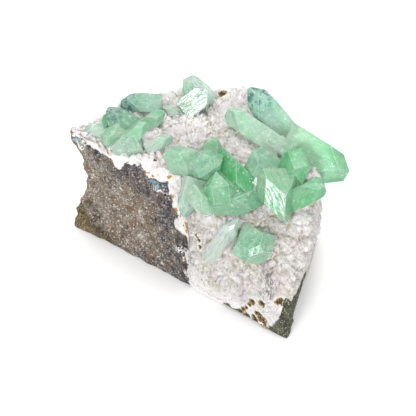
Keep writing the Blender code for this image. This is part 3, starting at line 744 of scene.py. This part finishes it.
# foot x, y, z; the axis's bearing and rise; length, width, depth, spin and blunting of the tip;
# how deep the green is: 1 dark and clear, 0 pale and milky, below 0 nearly white and partly
# painted glint; how blue the tip
Crystal = namedtuple("Crystal", "x y z bearing rise length width depth spin blunt green blue")
CRYSTALS = {
    "apophyllite_left": (
        Crystal(-28.4, 18.8, 45.3, 160, 42, 8.6, 8.0, 7.2, 20, 1.8, 0.75, 1.0),
        Crystal(-24.5, 18.0, 44.5, 22, 25, 11.0, 6.2, 5.0, 40, 1.0, 0.48, 0.1),
        Crystal(-31.0, 14.0, 44.8, -140, 15, 5.5, 7.0, 6.5, 35, 2.5, 0.45, 0.1),
        Crystal(-29.5, 9.0, 45.5, 21, 36, 11.8, 4.6, 4.3, 30, 1.0, 0.45, 0.2),
        Crystal(-25.5, 9.5, 43.8, -162, 62, 6.0, 7.5, 7.0, 10, 2.5, 0.30, 0.2),
        Crystal(-33.5, 18.5, 44.0, 124, 53, 5.5, 4.5, 4.0, 0, 1.0, 0.85, 0.0),
        Crystal(-36.5, 17.5, 44.0, -158, 8, 6.5, 6.2, 5.0, 30, 1.5, 0.12, 0.2),
    ),
    "apophyllite_small": (
        Crystal(-18.3, 9.3, 44.9, 14, 24, 6.8, 4.6, 4.0, 45, 0.8, 0.05, 0.1),
    ),
    "apophyllite_top": (
        Crystal(-6.4, 28.6, 47.0, 16, 36, 8.0, 8.2, 7.6, 40, 6.0, 0.06, 0.3),
        Crystal(-3.6, 33.2, 43.6, 150, 60, 9.0, 9.4, 8.8, 12, 4.4, 0.15, 0.3),
        Crystal(-12.0, 27.0, 44.5, 175, 20, 5.0, 3.5, 3.5, 45, 0.4, 0.05, 0.0),
        Crystal(-19.5, 28.8, 45.8, 179, 5, 11.0, 6.6, 6.2, 35, 1.2, 0.45, 1.0),
    ),
    "apophyllite_centre": (
        Crystal(-5.0, 0.0, 43.5, 172, 32, 11.5, 9.3, 8.5, 30, 1.8, 0.38, 0.1),
        Crystal(-1.0, 0.0, 42.8, -92, 55, 10.5, 10.5, 10.0, 10, 6.0, 0.50, 0.2),
        Crystal(5.0, 0.8, 44.0, -57, 1, 15.0, 7.8, 7.6, 55, 1.5, 1.00, 0.0),
        Crystal(2.8, -7.3, 42.6, -84, 26, 9.8, 9.8, 9.2, 40, 5.0, 0.62, 0.1),
        Crystal(-5.5, -8.5, 43.0, -112, -42, 10.0, 6.6, 5.5, 35, 1.5, 0.18, 0.4),
        Crystal(0.0, 5.5, 44.0, 49, 66, 6.5, 9.0, 7.5, 20, 2.0, 0.45, 0.0),
        Crystal(4.5, -12.2, 40.6, -3, 4, 13.0, 8.0, 6.8, 12, 1.5, 0.75, 0.3),
        Crystal(-3.5, -11.5, 42.6, -50, -25, 8.0, 7.5, 5.5, 35, 1.5, 0.45, 0.1),
        Crystal(27.8, -1.9, 43.1, -77, 72, 9.8, 10.2, 9.6, 40, 5.0, 0.80, 0.0),
        Crystal(21.2, -8.0, 43.4, -76, -18, 13.4, 12.2, 11.4, 18, 1.5, 0.72, 0.1),
        Crystal(29.0, -10.6, 41.4, 8, 26, 9.0, 8.2, 7.0, 35, 3.0, 0.85, 0.1),
        Crystal(17.8, -2.2, 43.0, 123, 64, 9.0, 12.0, 9.0, 30, 2.5, 0.42, 0.3),
    ),
    "apophyllite_back_right": (
        Crystal(25.4, 17.2, 44.5, 149, 42, 19.2, 8.6, 7.6, 35, 1.0, 0.22, 0.9),
        Crystal(22.2, 9.6, 44.6, 149.5, 19, 21.2, 6.8, 7.0, 40, 1.0, 0.22, 0.1),
        Crystal(28.4, 9.0, 46.2, -31, -15, 20.3, 9.4, 11.0, 50, 2.5, 0.62, 0.1),
    ),
    "apophyllite_spear": (
        Crystal(1.0, -19.8, 23.6, -12, 65, 19.5, 4.4, 4.2, 60, 0.6, -0.40, 0.0),
    ),
    "apophyllite_front": (
        Crystal(14.0, -21.0, 29.5, -87, 36, 12.3, 11.2, 10.4, 25, 2.8, 0.52, 0.3),
    ),
}


def habit_planes(crystal, number):
    """Outward normals and distances of the crystal's ten faces, about its foot, axis along Z.

    Four prism faces stand at half the width or depth, four pyramid faces lean by the pyramid
    angle through the tip, and two flat ends close the solid.
    """
    side = np.arange(4)
    prism_stray = 1.0 + HABIT_SPREAD * np.sin(5.3 * side + 2.7 * number)
    tip_stray = 1.0 + HABIT_SPREAD * np.sin(3.1 * side + 4.9 * number)
    turn = np.radians(90.0 * side + crystal.spin)
    skew = turn + math.radians(45.0)
    lean = math.radians(PYRAMID_ANGLE)
    prism = np.stack((np.cos(turn), np.sin(turn), np.zeros(4)), -1)
    pyramid = np.stack((np.cos(skew) * math.sin(lean), np.sin(skew) * math.sin(lean),
                        np.full(4, math.cos(lean))), -1)
    ends = np.array([(0.0, 0.0, 1.0), (0.0, 0.0, -1.0)])
    across = np.where(side % 2 == 0, crystal.width, crystal.depth)
    distances = np.concatenate((across / 2.0 * prism_stray,
                                (crystal.length + crystal.blunt) * tip_stray * math.cos(lean),
                                (crystal.length, BELOW_FOOT)))
    return np.concatenate((prism, pyramid, ends)), distances


def habit_corners(normals, distances):
    """The solid's corners, each where three face planes meet with no other cutting beneath it."""
    trios = np.array(list(combinations(range(len(normals)), 3)))
    trios = trios[np.abs(np.linalg.det(normals[trios])) > 1e-6]
    corners = np.linalg.solve(normals[trios], distances[trios][..., None])[..., 0]
    inside = ((corners @ normals.T) <= distances + 1e-7).all(1)
    return np.unique(np.round(corners[inside], 6), axis=0)


def face_axes(normal):
    """Two unit vectors in a face: level across it, and along it towards the tip."""
    across = np.cross((0.0, 0.0, 1.0), normal)
    if np.linalg.norm(across) < 0.1:
        across = np.array([1.0, 0.0, 0.0])
    across = across / np.linalg.norm(across)
    return across, np.cross(normal, across)


def stand_up(corners, crystal):
    """The corners in metres, with Z turned onto the crystal's axis and the foot put in place."""
    axis = direction(crystal.bearing, crystal.rise)
    sideways = np.cross(axis, (0.0, 0.0, 1.0))
    sideways /= np.linalg.norm(sideways)
    axes = np.stack((sideways, np.cross(sideways, axis), axis))
    return (corners @ axes + np.array(crystal[:3]) + SEAT) * MM


def grown_block(name, crystal, number):
    """One crystal as a closed block of flat faces with narrow chamfers.

    Each face is its corners in order round its middle.  Three maps go with the faces: growth, in
    millimetres across and along the face; tone, the crystal's green and blue; and place, how far
    up the crystal a corner is, with 1 on the chamfers.
    """
    normals, distances = habit_planes(crystal, number)
    corners = habit_corners(normals, distances)
    bm = bmesh.new()
    verts = [bm.verts.new(point) for point in stand_up(corners, crystal).tolist()]
    growth = bm.loops.layers.uv.new("growth")
    tone = bm.loops.layers.uv.new("tone")
    place = bm.loops.layers.uv.new("place")
    corner_of = dict(zip(verts, corners))
    for normal, distance in zip(normals, distances):
        on_face = np.nonzero(np.abs(corners @ normal - distance) < 1e-4)[0]
        if len(on_face) < 3:
            continue
        across, along = face_axes(normal)
        offset = corners[on_face] - corners[on_face].mean(0)
        order = on_face[np.argsort(np.arctan2(offset @ along, offset @ across))]
        face = bm.faces.new([verts[corner] for corner in order])
        for loop in face.loops:
            spot = corner_of[loop.vert]
            loop[growth].uv = (spot @ across + FACE_SPACING * number, spot @ along)
            loop[tone].uv = (crystal.green, crystal.blue)
            loop[place].uv = (spot[2] / crystal.length, 0.0)
    chamfers = bmesh.ops.bevel(bm, geom=bm.edges[:], offset=ARRIS_WIDTH * MM, segments=1,
                               affect="EDGES", profile=0.5, clamp_overlap=True)
    for face in chamfers["faces"]:
        for loop in face.loops:
            loop[place].uv = (loop[place].uv.x, 1.0)
    bmesh.ops.recalc_face_normals(bm, faces=bm.faces)
    mesh = bpy.data.meshes.new(name)
    bm.to_mesh(mesh)
    bm.free()
    return new_object(name, mesh)


def grown_together(name, blocks):
    """The blocks joined into one solid, with nothing left inside."""
    whole = blocks[0]
    for other in blocks[1:]:
        join = whole.modifiers.new("join", "BOOLEAN")
        join.operation = "UNION"
        join.solver = "EXACT"
        join.object = other
    bpy.context.view_layer.update()
    settled = whole.evaluated_get(bpy.context.evaluated_depsgraph_get())
    mesh = bpy.data.meshes.new_from_object(settled)
    for block in blocks:
        bpy.data.objects.remove(block, do_unlink=True)
    return new_object(name, mesh)


def crystal_gap(points, crystal):
    """Distance in mm from each point to the crystal's axis, less half its mean width."""
    axis = direction(crystal.bearing, crystal.rise) * crystal.length
    offset = points - np.array(crystal[:3])
    part = unit(offset @ axis / (axis @ axis))
    from_axis = np.linalg.norm(offset - part[..., None] * axis, axis=-1)
    return from_axis - 0.25 * (crystal.width + crystal.depth)


# the crust is stained ochre and painted with shade round the foot of every crystal
beside = np.min([crystal_gap(crust_skin, crystal) for crystals in CRYSTALS.values()
                 for crystal in crystals], axis=0)
paint_crust("stain_and_shade", unit(1.7 - beside / STAIN_AND_SHADE_REACH), 0.0)

PALE_GREEN = (0.78, 0.97, 0.84)
DEEP_GREEN = (0.12, 0.70, 0.25)
# milky white, partly painted glint
MILK_WHITE_AND_GLINT = (0.90, 0.97, 0.95)
MILKY_FOOT = (0.80, 0.95, 0.79)
VEIL = (0.74, 1.0, 0.83)
DARK_SPECK = (0.10, 0.52, 0.24)
PALE_SPECK = (0.74, 1.0, 0.82)
TEAL = (0.36, 0.66, 0.56)
FLAW = (0.06, 0.17, 0.20)
GROOVE = (0.26, 0.54, 0.38)
# white of the growth lines and flecks, partly painted glint
STREAK_AND_GLINT = (0.95, 1.0, 0.97)
HEALED_CRACK = (0.93, 1.0, 0.95)
# painted highlight along the arrises
ARRIS_HIGHLIGHT = (0.90, 1.0, 0.94)
GREEN_LIGHT = (0.36, 0.92, 0.58, 1.0)  # what is left of white light on its way through
GROWTH_STRETCH = 0.13  # the growth pattern is drawn out along the faces

green = Finish("apophyllite_green")


def face_map(name, reader):
    """The named map of the crystals' faces, read through a node of the given kind."""
    made = green.node(reader)
    green.fill(made.inputs["Vector"], green.node("ShaderNodeUVMap", uv_map=name).outputs["UV"])
    return made


deep, blue, _ = face_map("tone", "ShaderNodeSeparateXYZ").outputs
toward_tip, on_arris, _ = face_map("place", "ShaderNodeSeparateXYZ").outputs
stretch = face_map("growth", "ShaderNodeMapping")
stretch.inputs["Scale"].default_value = (MM, MM * GROWTH_STRETCH, MM)
along_growth = stretch.outputs["Vector"]
striation = green.noise(0.62, 5.0, 0.7, place=along_growth)
fine = green.noise(0.7, 6.0, 0.8)
cloud = green.noise(3.0, 6.0, 0.65)

# the body colour, paler and milkier towards the foot
depth_here = green.math("ADD", deep, green.ramp(green.noise(5.5, 3.0, 0.5), 0.3, 0.7, -0.16, 0.16))
green.colour = green.blend(depth_here, PALE_GREEN, DEEP_GREEN)
# nearly white where the green is below 0: milkiness, partly painted glint
green.coat(green.ramp(deep, -0.5, 0.0, 0.9, 0.0), MILK_WHITE_AND_GLINT)
green.coat(green.product(green.ramp(toward_tip, -0.1, 0.75, 0.50, 0.0),
                         green.ramp(deep, 0.6, 1.0, 1.0, 0.1)), MILKY_FOOT)
veil = green.ramp(cloud, 0.52, 0.74, 0.0, 0.45)
green.coat(veil, VEIL)
green.coat(green.ramp(fine, 0.38, 0.48, 0.40, 0.0), DARK_SPECK)
green.coat(green.ramp(fine, 0.55, 0.66, 0.0, 0.40), PALE_SPECK)

# blue-green tips with dark flaws
green.coat(green.product(blue, green.ramp(toward_tip, 0.1, 0.8, 0.35, 0.8)), TEAL)
flaw = green.product(green.ramp(green.noise(2.0, 5.0, 0.7), 0.50, 0.56),
                     green.ramp(toward_tip, 0.35, 0.75, 0.0, 0.9))
green.coat(green.product(flaw, blue), FLAW)

# growth lines along the faces, strongest on the pale crystals; their white is partly painted glint
paleness = green.ramp(deep, -0.3, 0.35, 1.0, 0.22)
green.coat(green.product(green.ramp(striation, 0.38, 0.46, 0.70, 0.0), paleness), GROOVE)
green.coat(green.product(green.ramp(striation, 0.54, 0.62, 0.0, 0.8), paleness), STREAK_AND_GLINT)

# healed cracks: thin white lines where a cloudy field crosses its middle value
from_middle = green.math("SUBTRACT", green.noise(6.0, 3.0, 0.6), 0.5)
healed = green.ramp(green.math("ABSOLUTE", from_middle), 0.003, 0.010, 0.7, 0.0)
green.coat(green.product(healed, green.ramp(cloud, 0.42, 0.55)), HEALED_CRACK)

# white flecks in about a third of the cells, partly painted sparkle, and a painted highlight along
# the arrises
fleck_reach, fleck_colour = green.grains(1.8)
fleck_reach = green.math("ADD", fleck_reach, green.ramp(fine, 0.3, 0.7, -0.12, 0.12))
green.coat(green.product(green.ramp(fleck_reach, 0.15, 0.20, 0.95, 0.0),
                         green.ramp(green.lots(fleck_colour)[0], 0.62, 0.64)), STREAK_AND_GLINT)
green.coat(green.product(on_arris, 0.50), ARRIS_HIGHLIGHT)

# low growth steps along the crystal's length, so that a lamp glints in strips
steps = green.ramp(green.noise(1.1, 3.0, 0.6, place=along_growth), 0.45, 0.55)
terraces = green.ramp(green.noise(1.4, 3.0, 0.5), 0.47, 0.50)
face_relief = green.bump(terraces, 0.05, under=green.bump(steps, 0.10))
clearness = green.math("SUBTRACT", green.ramp(deep, 0.0, 1.0, 0.52, 0.66),
                       green.product(veil, 0.4))
green.finish(Roughness=0.06, IOR=1.535, Normal=face_relief, Transmission_Weight=clearness,
             Subsurface_Weight=0.5, Subsurface_Scale=0.004)
green.shader.inputs["Subsurface Radius"].default_value = (0.5, 1.0, 0.65)
tint = green.node("ShaderNodeVolumeAbsorption")
tint.inputs["Color"].default_value = GREEN_LIGHT
tint.inputs["Density"].default_value = 25.0
green.fill(green.tree.nodes["Material Output"].inputs["Volume"], tint.outputs["Volume"])

number = 1
for group, crystals in CRYSTALS.items():
    blocks = []
    for crystal in crystals:
        blocks.append(grown_block(f"{group}_{number:02d}", crystal, number))
        number += 1
    crystal_group = grown_together(group.replace("apophyllite", "crystals"), blocks)
    crystal_group.data.materials.clear()
    crystal_group.data.materials.append(green.material)
    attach(crystal_group, "root")
    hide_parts(group)


# ---------------------------------------
# Paper sheet.  The white paper that the specimen stands on, three metres to each side, so that
# its edges never show.
# ---------------------------------------

PAPER_REACH = 3.0
PAPER_HEIGHT = -0.0002  # just under the floor, clear of the block's flat base

paper_mesh = bpy.data.meshes.new("paper")
paper_mesh.from_pydata([(x * PAPER_REACH, y * PAPER_REACH, PAPER_HEIGHT)
                        for x, y in ((-1, -1), (1, -1), (1, 1), (-1, 1))], [], [(0, 1, 2, 3)])
paper_sheet = new_object("paper_sheet", paper_mesh)
paper = Finish("white_paper")
paper.colour = (0.93, 0.93, 0.93)
paper.finish(Roughness=0.9)
paper_mesh.materials.append(paper.material)


# ---------------------------------------
# Light and camera.  A white room with one broad lamp overhead and smaller ones in front and at
# the right, whose reflections glint on the crystals' faces, seen from halfway up.
# ---------------------------------------

ROOM_LIGHT = 0.68
LAMP_TARGET = Vector((0.0, 0.0, 0.03))
# place, width and power of each square lamp
LAMPS = {
    "front_left": ((-0.23, -0.55, 0.31), 0.17, 1.6),
    "front_low": ((0.08, -0.60, 0.28), 0.09, 0.45),
    "right_panel": ((0.55, -0.35, 0.25), 0.35, 0.5),
    "top_panel": ((0.02, 0.14, 0.68), 0.60, 3.6),
}
VIEWPOINT = Vector((0.0007, -0.3402, 0.3594))
VIEW_TARGET = Vector((0.0007, -0.0008, 0.020))


def facing(place, target):
    """The turn that points an object's own -Z from place to target, with Y up."""
    return (target - place).to_track_quat("-Z", "Y").to_euler()


world = bpy.data.worlds.new("soft_room")
world.use_nodes = True
background = world.node_tree.nodes["Background"]
background.inputs["Color"].default_value = (1.0, 1.0, 1.0, 1.0)
background.inputs["Strength"].default_value = ROOM_LIGHT
scene.world = world

for name, (place, width, power) in LAMPS.items():
    lamp = bpy.data.lights.new(name, "AREA")
    lamp.shape = "SQUARE"
    lamp.size = width
    lamp.energy = power
    holder = new_object(name, lamp)
    holder.location = place
    holder.rotation_euler = facing(Vector(place), LAMP_TARGET)

camera = bpy.data.cameras.new("camera")
camera.sensor_width = 36.0
camera.lens = 120.8
camera.clip_start = 0.01
viewer = new_object("camera", camera)
viewer.location = VIEWPOINT
viewer.rotation_euler = facing(VIEWPOINT, VIEW_TARGET)
scene.camera = viewer
scene.view_settings.view_transform = "Standard"
